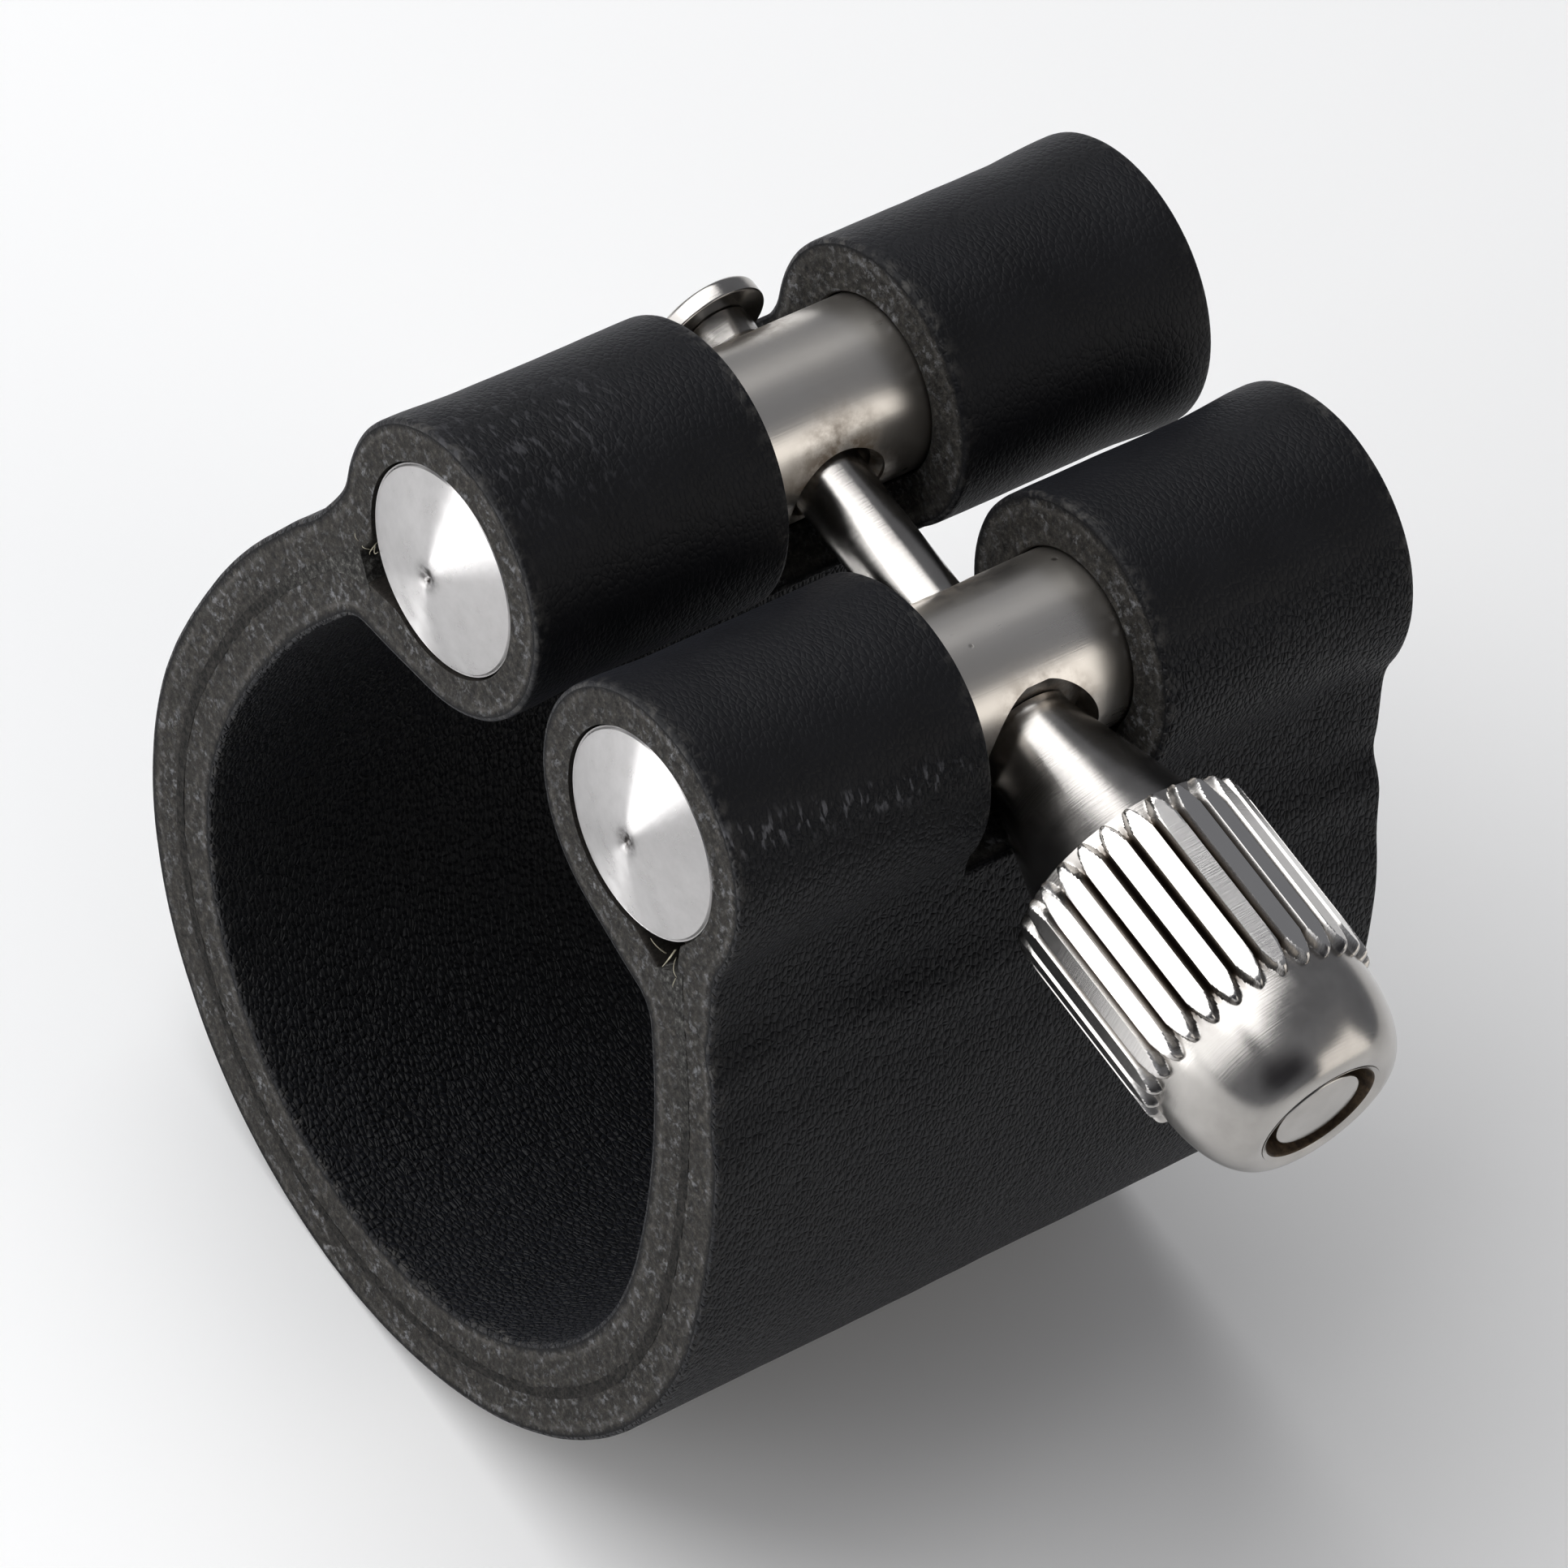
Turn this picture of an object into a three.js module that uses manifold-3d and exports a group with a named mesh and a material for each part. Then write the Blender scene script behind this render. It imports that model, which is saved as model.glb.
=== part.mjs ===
// Saxophone ligature: a black leather strap that wraps a tenor mouthpiece, two metal rods held in the
// folded ends of the strap, and one knurled thumb screw that draws the rods together.
//
// Millimetres, +Z up. +X runs along the bore towards the mouthpiece's tip, +Y runs away from the thumb
// screw's knob, and +Z points from the bore to the two rods. "Near" is the knob's side (-Y), "far" is
// the other (+Y). The pieces are drawn about the middle of the bore's axis, and the finished group is
// moved so that its origin is on the strap's shank-side edge, mid-thickness in the saddle's outer ply.

import * as THREE from "three";
import { mergeVertices } from "three/addons/utils/BufferGeometryUtils.js";
import Module from "manifold-3d";

const wasm = await Module();
wasm.setup();

// ---- driving dimensions ----

const STRAP_LENGTH = 23; // along the bore
const BORE_R = 9.95; // the strap's inside, on a mouthpiece about 19.7 mm across
const PLY = 1.45; // leather thickness; the strap is two plies glued face to face
const GLUE_LINE = 0.04;
const SPLIT_ANGLE = -20; // where each side of the strap bends against the saddle, from +Y
const SPLIT_GAP = 0.3;

const ROD_Y = 4.7; // rod axes at -ROD_Y and +ROD_Y
const ROD_Z = 14.65;
const ROD_R = 2.6;
const LOOP_R = 4.2; // outside of the leather fold round a rod
const RUNNING_GAP = 0.06; // radial clearance of every turning fit
const WINDOW_LENGTH = 6; // opening in each fold that bares the rod
const WINDOW_FLOOR = 12.35;

const CAP_R = 3.05;
const CAP_RIM = 0.5;
const CAP_DOME = 0.5;
const CAP_PROUD = 0.1; // how far the rim's outer edge stays inside the strap's edge
const CAP_PIN_R = 1;
const CAP_PIN_LENGTH = 2.5;

const PITCH = 0.45; // thumb screw thread
const THREAD_R = 1.3;
const THREAD_ROOT_R = 1.08;
const THREAD_START = 2.7; // just inside the far rod
const THREAD_END = 7.1;
const NECK_R = 1.1;
const RELIEF_R = 1.04; // plain end between the thread and the disc
const SEAT_R = 2; // counterbore of the near rod that the knob's nose seats in
const SEAT_FLOOR = -6.4;

const NOSE_R = 1.45;
const CONE_START = -6.75;
const CONE_END = -11.3;
const CONE_R = 2.75;
const KNURL_R = 3.65;
const KNURL_ROOT_R = 3.32;
const KNURL_END = -17.5;
const FLUTES = 28;
const CHAMFER = 0.35;
const KNOB_END = -20.2;
const KNOB_LIP_R = 1.92;
const RECESS_R = 1.72;
const RECESS_DEPTH = 0.7;

const DISC_R = 1.7;
const DISC_START = 8.05;
const DISC_THICKNESS = 0.55;
const DISC_PIN_R = 0.9;

const PRESS_GAP = 0.03;
const ROUND_STEPS = 40;

// ---- derived places ----

const OUTER_R = BORE_R + 2 * PLY;
const HALF = STRAP_LENGTH / 2;
const CAP_BACK = HALF - CAP_PROUD - CAP_RIM;
const ROD_BORE_R = ROD_R + RUNNING_GAP;
const SHANK_BORE_R = THREAD_R + RUNNING_GAP;
const FLANK_START = 8; // where the flank leaves the circle round the bore, degrees
const FLANK_END = -12; // where it joins the circle of the fold

// ---- materials ----

const leather = new THREE.MeshStandardMaterial({ color: 0x1b1b1d, roughness: 0.62, metalness: 0 });
const satinNickel = new THREE.MeshStandardMaterial({ color: 0xb9b4ab, roughness: 0.34, metalness: 1 });
const polishedNickel = new THREE.MeshStandardMaterial({ color: 0xdedbd5, roughness: 0.08, metalness: 1 });
const turnedNickel = new THREE.MeshStandardMaterial({ color: 0xc9c4bb, roughness: 0.24, metalness: 1 });

// ---- helpers ----

// A closed three.js geometry as a solid that can be joined and cut.
function solidOf(geometry) {
  const bare = geometry.clone();
  bare.deleteAttribute("normal");
  bare.deleteAttribute("uv");
  const merged = mergeVertices(bare, 1e-4);
  const index = merged.index.array;
  const triangles = [];
  for (let i = 0; i < index.length; i += 3) {
    const [a, b, c] = [index[i], index[i + 1], index[i + 2]];
    if (a !== b && b !== c && a !== c) triangles.push(a, b, c);
  }
  const vertProperties = merged.attributes.position.array;
  const mesh = new wasm.Mesh({ numProp: 3, vertProperties, triVerts: new Uint32Array(triangles) });
  return new wasm.Manifold(mesh);
}

function geometryOf(solid) {
  const mesh = solid.getMesh();
  const geometry = new THREE.BufferGeometry();
  geometry.setAttribute("position", new THREE.BufferAttribute(mesh.vertProperties, 3));
  geometry.setIndex(new THREE.BufferAttribute(mesh.triVerts, 1));
  geometry.computeVertexNormals();
  return geometry;
}

function named(name, solid, material) {
  const mesh = new THREE.Mesh(geometryOf(solid), material);
  mesh.name = name;
  return mesh;
}

// Points of an arc in a section plane, both ends included; angles in degrees from the first axis.
function arc(cx, cy, r, from, to, steps) {
  const points = [];
  for (let i = 0; i <= steps; i++) {
    const a = THREE.MathUtils.degToRad(from + ((to - from) * i) / steps);
    points.push(new THREE.Vector2(cx + r * Math.cos(a), cy + r * Math.sin(a)));
  }
  return points;
}

// A section drawn in the Y-Z plane, extruded along X from -length/2 to +length/2.
function extrudeAlongX(shape, length) {
  const geometry = new THREE.ExtrudeGeometry(shape, { depth: length, bevelEnabled: false });
  geometry.translate(0, 0, -length / 2);
  const y = new THREE.Vector3(0, 1, 0);
  const z = new THREE.Vector3(0, 0, 1);
  const x = new THREE.Vector3(1, 0, 0);
  return geometry.applyMatrix4(new THREE.Matrix4().makeBasis(y, z, x));
}

// A turned solid on the Y axis, from pairs of radius and Y that start and end on the axis or close.
function turned(profile, steps = ROUND_STEPS) {
  const points = profile.map(([r, y]) => new THREE.Vector2(r, y));
  return solidOf(new THREE.LatheGeometry(points, steps));
}

// A plain cylinder on the Y axis between two heights.
function rodOnY(r, low, high, steps = ROUND_STEPS) {
  return turned([[0, low], [r, low], [r, high], [0, high]], steps);
}

// Turns a solid that stands on the Y axis onto the X axis, then moves it.
function alongX(solid, x, y, z) {
  return solid.rotate([0, 0, -90]).translate([x, y, z]);
}

function block(x, y, z, low) {
  const geometry = new THREE.BoxGeometry(x, y, z);
  geometry.translate(0, 0, low + z / 2);
  return solidOf(geometry);
}

// ---- the strap ----

// The outer line of a flank, from the circle round the bore up to the fold, on the +Y side.
function flankCurve() {
  const [start] = arc(0, 0, OUTER_R, FLANK_START, FLANK_START, 1);
  const [end] = arc(ROD_Y, ROD_Z, LOOP_R, FLANK_END, FLANK_END, 1);
  const [startLean] = arc(start.x, start.y, 8, FLANK_START + 90, FLANK_START + 90, 1);
  const [endLean] = arc(end.x, end.y, 2, FLANK_END - 90, FLANK_END - 90, 1);
  return new THREE.CubicBezierCurve(start, startLean, endLean, end);
}

// A point of the flank, moved inwards by the given thickness.
function flankPoint(curve, t, inwards) {
  const tangent = curve.getTangent(t);
  const point = curve.getPoint(t);
  return new THREE.Vector2(point.x - tangent.y * inwards, point.y + tangent.x * inwards);
}

// Where a straight line from a point under the rod touches the circle of the fold from below.
function touchOnFold(point) {
  const toCentre = new THREE.Vector2(ROD_Y - point.x, ROD_Z - point.y);
  const distance = toCentre.length();
  const turn = Math.asin(LOOP_R / distance);
  return THREE.MathUtils.radToDeg(toCentre.angle() + turn + Math.PI / 2);
}

// One side of the strap: up the flank, round the rod, and back under it to the bore.
function foldOutline() {
  const curve = flankCurve();
  const split = SPLIT_ANGLE + THREE.MathUtils.radToDeg(SPLIT_GAP / 2 / (BORE_R + PLY));
  const throatT = 0.62; // where the returning ply meets the flank's inner face
  const throat = flankPoint(curve, throatT, 2 * PLY);
  const touch = touchOnFold(throat);
  const outline = arc(0, 0, OUTER_R, split, FLANK_START, 8);
  for (let i = 1; i < 12; i++) outline.push(curve.getPoint(i / 12));
  outline.push(...arc(ROD_Y, ROD_Z, LOOP_R, FLANK_END, touch, 30));
  const [end] = outline.slice(-1);
  const below = flankPoint(curve, throatT - 0.06, 2 * PLY);
  const beside = throat.clone().lerp(end, 0.14);
  const rounded = new THREE.QuadraticBezierCurve(beside, throat, below);
  outline.push(...rounded.getPoints(5));
  for (let i = 1; i <= 6; i++) outline.push(flankPoint(curve, (throatT - 0.06) * (1 - i / 6), 2 * PLY));
  outline.push(...arc(0, 0, BORE_R, FLANK_START, split, 8).slice(1));
  return outline;
}

// The tunnel that the fold leaves for its rod: round, with a wedge where the two plies part.
function tunnelOutline() {
  const wedgeAngle = -50;
  const wedgeReach = 4;
  const half = THREE.MathUtils.radToDeg(Math.acos(ROD_BORE_R / wedgeReach));
  const round = arc(ROD_Y, ROD_Z, ROD_BORE_R, wedgeAngle + half, wedgeAngle + 360 - half, 28);
  const [tip] = arc(ROD_Y, ROD_Z, wedgeReach, wedgeAngle, wedgeAngle, 1);
  return [...round, tip];
}

function strapFold(side) {
  const onSide = (points) => {
    const placed = points.map((p) => new THREE.Vector2(p.x * side, p.y));
    return side < 0 ? placed.reverse() : placed;
  };
  const shape = new THREE.Shape(onSide(foldOutline()));
  shape.holes.push(new THREE.Path(onSide(tunnelOutline())));
  const seat = rodOnY(CAP_R + RUNNING_GAP, -2, 2);
  const seatX = CAP_BACK - 0.15 + 2;
  const window = block(WINDOW_LENGTH, 3 * LOOP_R, 2 * LOOP_R, WINDOW_FLOOR).translate([0, ROD_Y * side, 0]);
  return solidOf(extrudeAlongX(shape, STRAP_LENGTH))
    .subtract(alongX(seat, seatX, ROD_Y * side, ROD_Z))
    .subtract(alongX(seat, -seatX, ROD_Y * side, ROD_Z))
    .subtract(window);
}

// The bottom of the strap, which lies against the reed: one ply between two radii.
function saddlePly(inner, outer) {
  const end = SPLIT_ANGLE - THREE.MathUtils.radToDeg(SPLIT_GAP / 2 / (BORE_R + PLY));
  const steps = 28;
  const outline = [
    ...arc(0, 0, outer, -180 - end, end, steps),
    ...arc(0, 0, inner, end, -180 - end, steps),
  ];
  return solidOf(extrudeAlongX(new THREE.Shape(outline), STRAP_LENGTH));
}

// ---- rods and caps ----

function crossHole(r, side) {
  const reach = ROD_R + 1;
  return rodOnY(r, -reach, reach, 24).translate([0, ROD_Y * side, ROD_Z]);
}

function rod(side) {
  const pinHole = rodOnY(CAP_PIN_R + PRESS_GAP, -CAP_PIN_LENGTH - 0.2, CAP_PIN_LENGTH + 0.2, 20);
  return alongX(rodOnY(ROD_R, -CAP_BACK, CAP_BACK), 0, ROD_Y * side, ROD_Z)
    .subtract(alongX(pinHole, CAP_BACK, ROD_Y * side, ROD_Z))
    .subtract(alongX(pinHole, -CAP_BACK, ROD_Y * side, ROD_Z))
    .subtract(crossHole(SHANK_BORE_R, side));
}

// The near rod also has the counterbore that the knob's nose turns in.
function nearRod() {
  const seat = rodOnY(SEAT_R, SEAT_FLOOR - ROD_R, SEAT_FLOOR, 28).translate([0, 0, ROD_Z]);
  return rod(-1).subtract(seat);
}

// A press-in cap: a pin, a thin rim and a shallow dome that comes to a soft point.
function rodCap(side, end) {
  const back = CAP_BACK + PRESS_GAP;
  const profile = [[0, -CAP_PIN_LENGTH], [CAP_PIN_R, -CAP_PIN_LENGTH], [CAP_PIN_R, 0], [CAP_R, 0]];
  const domeSteps = 7;
  for (let i = 0; i <= domeSteps; i++) {
    const s = i / domeSteps;
    profile.push([CAP_R * (1 - s), CAP_RIM + CAP_DOME * Math.pow(s, 0.85)]);
  }
  const cap = turned(profile);
  if (end > 0) return alongX(cap, back, ROD_Y * side, ROD_Z);
  return alongX(cap.rotate([180, 0, 0]), -back, ROD_Y * side, ROD_Z);
}

// ---- thumb screw ----

function knobCore() {
  const domeSteps = 7;
  const bore = THREAD_R + PRESS_GAP;
  const recessFloor = KNOB_END + RECESS_DEPTH;
  const profile = [[bore, recessFloor], [RECESS_R, recessFloor], [RECESS_R, KNOB_END + 0.08]];
  profile.push([KNOB_LIP_R, KNOB_END]);
  for (let i = 1; i <= domeSteps; i++) {
    const a = (i / domeSteps) * (Math.PI / 2);
    const r = KNOB_LIP_R + (KNURL_ROOT_R - KNOB_LIP_R) * Math.sin(a);
    profile.push([r, KNURL_END + (KNOB_END - KNURL_END) * Math.cos(a)]);
  }
  const noseEnd = SEAT_FLOOR - 0.05;
  profile.push([KNURL_ROOT_R, CONE_END - CHAMFER], [CONE_R, CONE_END], [NOSE_R, CONE_START]);
  profile.push([NOSE_R, noseEnd], [bore, noseEnd], [bore, recessFloor]);
  return turned(profile, 56);
}

// The fluted band: rounded ridges in a ring, chamfered at both ends.
function knurlBand() {
  const outline = [];
  const perFlute = 6;
  for (let i = 0; i < FLUTES * perFlute; i++) {
    const phase = ((i % perFlute) + 0.5) / perFlute;
    const ridge = Math.sqrt(Math.sin(Math.PI * phase));
    const r = KNURL_ROOT_R - 0.05 + (KNURL_R - KNURL_ROOT_R + 0.05) * ridge;
    const a = (i / (FLUTES * perFlute)) * 2 * Math.PI;
    outline.push(new THREE.Vector2(r * Math.cos(a), r * Math.sin(a)));
  }
  const shape = new THREE.Shape(outline);
  shape.holes.push(new THREE.Path(arc(0, 0, CONE_R - 0.4, 0, 360, 24).slice(0, -1)));
  const low = KNURL_END - 0.1;
  const high = CONE_END - 0.1;
  const geometry = new THREE.ExtrudeGeometry(shape, { depth: high - low, bevelEnabled: false });
  geometry.rotateX(-Math.PI / 2);
  geometry.translate(0, low, 0);
  const slope = CHAMFER * 1.6;
  const envelope = turned([
    [0, low - 0.2], [KNURL_R - CHAMFER - 0.1, low - 0.2], [KNURL_R + 0.05, low + slope],
    [KNURL_R + 0.05, high - slope], [KNURL_R - CHAMFER - 0.1, high + 0.2], [0, high + 0.2],
  ], 56);
  return solidOf(geometry).intersect(envelope);
}

function screwKnob() {
  return knobCore().add(knurlBand()).translate([0, 0, ROD_Z]);
}

// A single-start right-hand ridge round a core, made by pushing a cylinder's wall in and out.
function threadedLength(low, high) {
  const rowsPerTurn = 4;
  const rows = Math.round(((high - low) / PITCH) * rowsPerTurn);
  const geometry = new THREE.CylinderGeometry(1, 1, high - low, 16, rows);
  geometry.translate(0, (low + high) / 2, 0);
  const position = geometry.attributes.position;
  for (let i = 0; i < position.count; i++) {
    const x = position.getX(i);
    const z = position.getZ(i);
    if (Math.hypot(x, z) < 0.5) continue;
    const turns = position.getY(i) / PITCH - Math.atan2(x, z) / (2 * Math.PI);
    const ridge = 1 - Math.abs(2 * (turns - Math.floor(turns)) - 1);
    const r = THREAD_ROOT_R + (THREAD_R - THREAD_ROOT_R) * ridge;
    position.setXYZ(i, x * r, position.getY(i), z * r);
  }
  return solidOf(geometry);
}

// One turned pin through the whole screw: pressed in the knob, plain between the rods, then threaded.
function screwShank() {
  const buttonEnd = KNOB_END + 0.12;
  const neckStart = -2.5;
  const pin = turned([
    [0, buttonEnd], [THREAD_R - 0.15, buttonEnd], [THREAD_R, buttonEnd + 0.15], [THREAD_R, neckStart - 0.3],
    [NECK_R, neckStart], [NECK_R, THREAD_START + 0.2], [0, THREAD_START + 0.2],
  ], 28);
  const relief = rodOnY(RELIEF_R, THREAD_END - 0.2, DISC_START - PRESS_GAP, 20);
  const tip = rodOnY(DISC_PIN_R, DISC_START - 0.2, DISC_START + DISC_THICKNESS, 20);
  return pin
    .add(threadedLength(THREAD_START, THREAD_END))
    .add(relief)
    .add(tip)
    .translate([0, 0, ROD_Z]);
}

// The disc riveted on the screw's end, which keeps the far rod from coming off.
function screwTipDisc() {
  const bore = DISC_PIN_R + PRESS_GAP;
  const end = DISC_START + DISC_THICKNESS;
  const disc = turned([
    [bore, DISC_START], [DISC_R, DISC_START], [DISC_R, end - 0.12], [DISC_R - 0.12, end], [bore, end],
    [bore, DISC_START],
  ], 36);
  return disc.translate([0, 0, ROD_Z]);
}

// ---- assembly ----

const ligature = new THREE.Group();
const glue = GLUE_LINE / 2;
ligature.add(named("strap_saddle_outer", saddlePly(BORE_R + PLY + glue, OUTER_R), leather));
ligature.add(named("strap_saddle_inner", saddlePly(BORE_R, BORE_R + PLY - glue), leather));
ligature.add(named("strap_near_fold", strapFold(-1), leather));
ligature.add(named("strap_far_fold", strapFold(1), leather));
ligature.add(named("near_rod", nearRod(), satinNickel));
ligature.add(named("far_rod", rod(1), satinNickel));
for (const [rodName, side] of [["near", -1], ["far", 1]]) {
  for (const [endName, end] of [["shank", -1], ["tip", 1]]) {
    ligature.add(named(`${rodName}_rod_cap_${endName}`, rodCap(side, end), polishedNickel));
  }
}
ligature.add(named("screw_knob", screwKnob(), turnedNickel));
ligature.add(named("screw_shank", screwShank(), turnedNickel));
ligature.add(named("screw_tip_disc", screwTipDisc(), polishedNickel));
ligature.position.set(HALF, 0, OUTER_R - PLY / 2);

export default ligature;
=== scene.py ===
"""Looks for the saxophone ligature: leather strap, rods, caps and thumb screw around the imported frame.

Shapes are worked out in millimetres and turned into metres when a mesh is made. The row frame has the
mouthpiece bore along X, the thumb screw along Y at the rods' height, and +Z from the bore to the rods.
"""

import math
import random

import bpy
import numpy as np
from mathutils import Matrix, Vector, noise


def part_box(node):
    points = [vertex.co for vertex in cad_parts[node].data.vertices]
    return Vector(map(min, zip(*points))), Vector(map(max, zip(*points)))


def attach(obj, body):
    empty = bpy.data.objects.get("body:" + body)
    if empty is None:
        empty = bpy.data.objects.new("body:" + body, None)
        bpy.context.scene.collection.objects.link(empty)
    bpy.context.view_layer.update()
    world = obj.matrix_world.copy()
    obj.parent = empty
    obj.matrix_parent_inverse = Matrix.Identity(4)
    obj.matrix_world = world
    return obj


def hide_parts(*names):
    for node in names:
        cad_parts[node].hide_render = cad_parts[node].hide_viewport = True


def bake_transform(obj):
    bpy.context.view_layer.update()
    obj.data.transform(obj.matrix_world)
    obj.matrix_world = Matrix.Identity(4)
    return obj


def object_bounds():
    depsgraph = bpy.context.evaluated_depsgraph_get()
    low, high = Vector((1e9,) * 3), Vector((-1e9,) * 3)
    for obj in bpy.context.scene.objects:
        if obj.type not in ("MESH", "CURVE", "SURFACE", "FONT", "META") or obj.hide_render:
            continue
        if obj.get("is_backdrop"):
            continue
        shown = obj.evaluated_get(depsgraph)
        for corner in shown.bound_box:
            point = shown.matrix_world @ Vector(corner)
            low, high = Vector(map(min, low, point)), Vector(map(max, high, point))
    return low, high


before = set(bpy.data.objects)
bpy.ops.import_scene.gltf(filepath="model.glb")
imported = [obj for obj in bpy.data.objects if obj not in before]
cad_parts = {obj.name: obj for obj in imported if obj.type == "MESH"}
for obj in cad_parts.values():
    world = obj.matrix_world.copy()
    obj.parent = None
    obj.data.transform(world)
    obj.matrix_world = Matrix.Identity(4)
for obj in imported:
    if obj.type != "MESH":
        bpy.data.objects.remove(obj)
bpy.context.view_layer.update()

MM = 0.001


# ---- sizes read from the frame, in millimetres ----

GLUE_LINE = 0.04
CLEARANCE = 0.06
WINDOW_HALF = 3.0
WINDOW_FLOOR = 12.35

FOLD_BOX = np.array(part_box("strap_far_fold")) / MM
SADDLE_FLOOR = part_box("strap_saddle_outer")[0][2] / MM
OUTER_R = FOLD_BOX[1][1]
CENTRE = np.array([FOLD_BOX[:, 0].mean(), 0, SADDLE_FLOOR + OUTER_R])  # middle of the bore's axis


def box_mm(node):
    """A node's lowest and highest corners, measured from the middle of the bore's axis."""
    low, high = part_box(node)
    return np.array(low) / MM - CENTRE, np.array(high) / MM - CENTRE


def to_frame(point):
    """A point measured in millimetres from the middle of the bore's axis, in the frame's metres."""
    return Vector((np.array(point, float) + CENTRE) * MM)


ROD_LOW, ROD_HIGH = box_mm("far_rod")
ROD_Y, ROD_Z = (ROD_LOW[1:] + ROD_HIGH[1:]) / 2
ROD_R = (ROD_HIGH[2] - ROD_LOW[2]) / 2
ROD_HALF = ROD_HIGH[0]
CAP_LOW, CAP_HIGH = box_mm("far_rod_cap_tip")
CAP_R = (CAP_HIGH[2] - CAP_LOW[2]) / 2
FOLD_HIGH = box_mm("strap_far_fold")[1]
HALF = FOLD_HIGH[0]
LOOP_R = FOLD_HIGH[2] - ROD_Z
PLY = OUTER_R + box_mm("strap_saddle_inner")[0][2] - GLUE_LINE / 2
BORE_R = OUTER_R - 2 * PLY
KNOB_LOW, KNOB_HIGH = box_mm("screw_knob")
KNURL_R = (KNOB_HIGH[2] - KNOB_LOW[2]) / 2
KNOB_END, NOSE_END = KNOB_LOW[1], KNOB_HIGH[1]
SHANK_LOW, SHANK_HIGH = box_mm("screw_shank")
THREAD_R = (SHANK_HIGH[2] - SHANK_LOW[2]) / 2
DISC_LOW, DISC_HIGH = box_mm("screw_tip_disc")
DISC_R = (DISC_HIGH[2] - DISC_LOW[2]) / 2


# ---- mesh helpers ----

def new_piece(name, verts, faces, materials, face_materials=None, sharp_degrees=35):
    """A smooth-shaded mesh object from points in millimetres about the middle of the bore's axis."""
    mesh = bpy.data.meshes.new(name)
    mesh.from_pydata(((np.asarray(verts) + CENTRE) * MM).tolist(), [], [list(map(int, f)) for f in faces])
    for material in materials:
        mesh.materials.append(material)
    if face_materials is not None:
        mesh.polygons.foreach_set("material_index", face_materials)
    mesh.polygons.foreach_set("use_smooth", [True] * len(mesh.polygons))
    mesh.update()
    mesh.set_sharp_from_angle(angle=math.radians(sharp_degrees))
    piece = bpy.data.objects.new(name, mesh)
    bpy.context.scene.collection.objects.link(piece)
    return piece


def note_points(piece, **values):
    """Stores one number per vertex under each name, for the materials to read."""
    for key, numbers in values.items():
        layer = piece.data.attributes.new(key, "FLOAT", "POINT")
        layer.data.foreach_set("value", np.asarray(numbers, dtype=np.float32))


def baked(piece):
    """Applies the piece's modifiers to its mesh."""
    depsgraph = bpy.context.evaluated_depsgraph_get()
    mesh = bpy.data.meshes.new_from_object(piece.evaluated_get(depsgraph))
    old = piece.data
    piece.modifiers.clear()
    piece.data = mesh
    bpy.data.meshes.remove(old)
    return piece


def cut(piece, tool):
    """Subtracts tool from piece and throws tool away."""
    modifier = piece.modifiers.new("cut", "BOOLEAN")
    modifier.operation = "DIFFERENCE"
    modifier.solver = "EXACT"
    modifier.object = tool
    bpy.context.view_layer.update()
    baked(piece)
    bpy.data.objects.remove(tool)
    return piece


def rounded(corners, steps=4):
    """A profile of (radius, height, fillet) corners as (radius, height) points, with its corners rounded."""
    points = []
    count = len(corners)
    for i, (r, h, fillet) in enumerate(corners):
        here = np.array([r, h], float)
        if not fillet:
            points.append(here)
            continue
        before = np.array(corners[i - 1][:2], float) - here
        after = np.array(corners[(i + 1) % count][:2], float) - here
        start = here + before / np.linalg.norm(before) * fillet
        end = here + after / np.linalg.norm(after) * fillet
        for k in range(steps + 1):
            t = k / steps
            points.append((1 - t) ** 2 * start + 2 * t * (1 - t) * here + t * t * end)
    return points


def revolve(profile, angles, radius_at=None):
    """Points and faces of a profile turned about the Y axis; ends on the axis become fans.

    angles is a count of even steps, or the angles themselves. radius_at(r, h, angle) may change the
    radius round the axis.
    """
    if isinstance(angles, int):
        angles = np.arange(angles) * 2 * math.pi / angles
    steps = len(angles)
    verts, rings = [], []
    for r, h in profile:
        if r < 1e-6:
            rings.append([len(verts)] * steps)
            verts.append((0, h, 0))
            continue
        ring = []
        for a in angles:
            radius = radius_at(r, h, a) if radius_at else r
            ring.append(len(verts))
            verts.append((radius * math.sin(a), h, radius * math.cos(a)))
        rings.append(ring)
    closed = profile[0][0] > 1e-6
    faces = []
    for k in range(len(rings) if closed else len(rings) - 1):
        low, high = rings[k], rings[(k + 1) % len(rings)]
        for i in range(steps):
            j = (i + 1) % steps
            quad = [low[i], low[j], high[j], high[i]]
            face = list(dict.fromkeys(quad))
            if len(face) > 2:
                faces.append(face)
    return np.array(verts), faces


def placed(verts, along, centre):
    """Points made on the Y axis, turned so that Y points along +X, -X, +Y or -Y, and moved."""
    x, y, z = verts.T
    turned = {
        "+X": (y, -x, z),
        "-X": (-y, x, z),
        "+Y": (x, y, z),
        "-Y": (-x, -y, z),
    }[along]
    return np.stack(turned, axis=1) + np.array(centre)


def smoothstep(low, high, value):
    t = np.clip((value - low) / (high - low), 0, 1)
    return t * t * (3 - 2 * t)


# ---- materials ----

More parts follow.
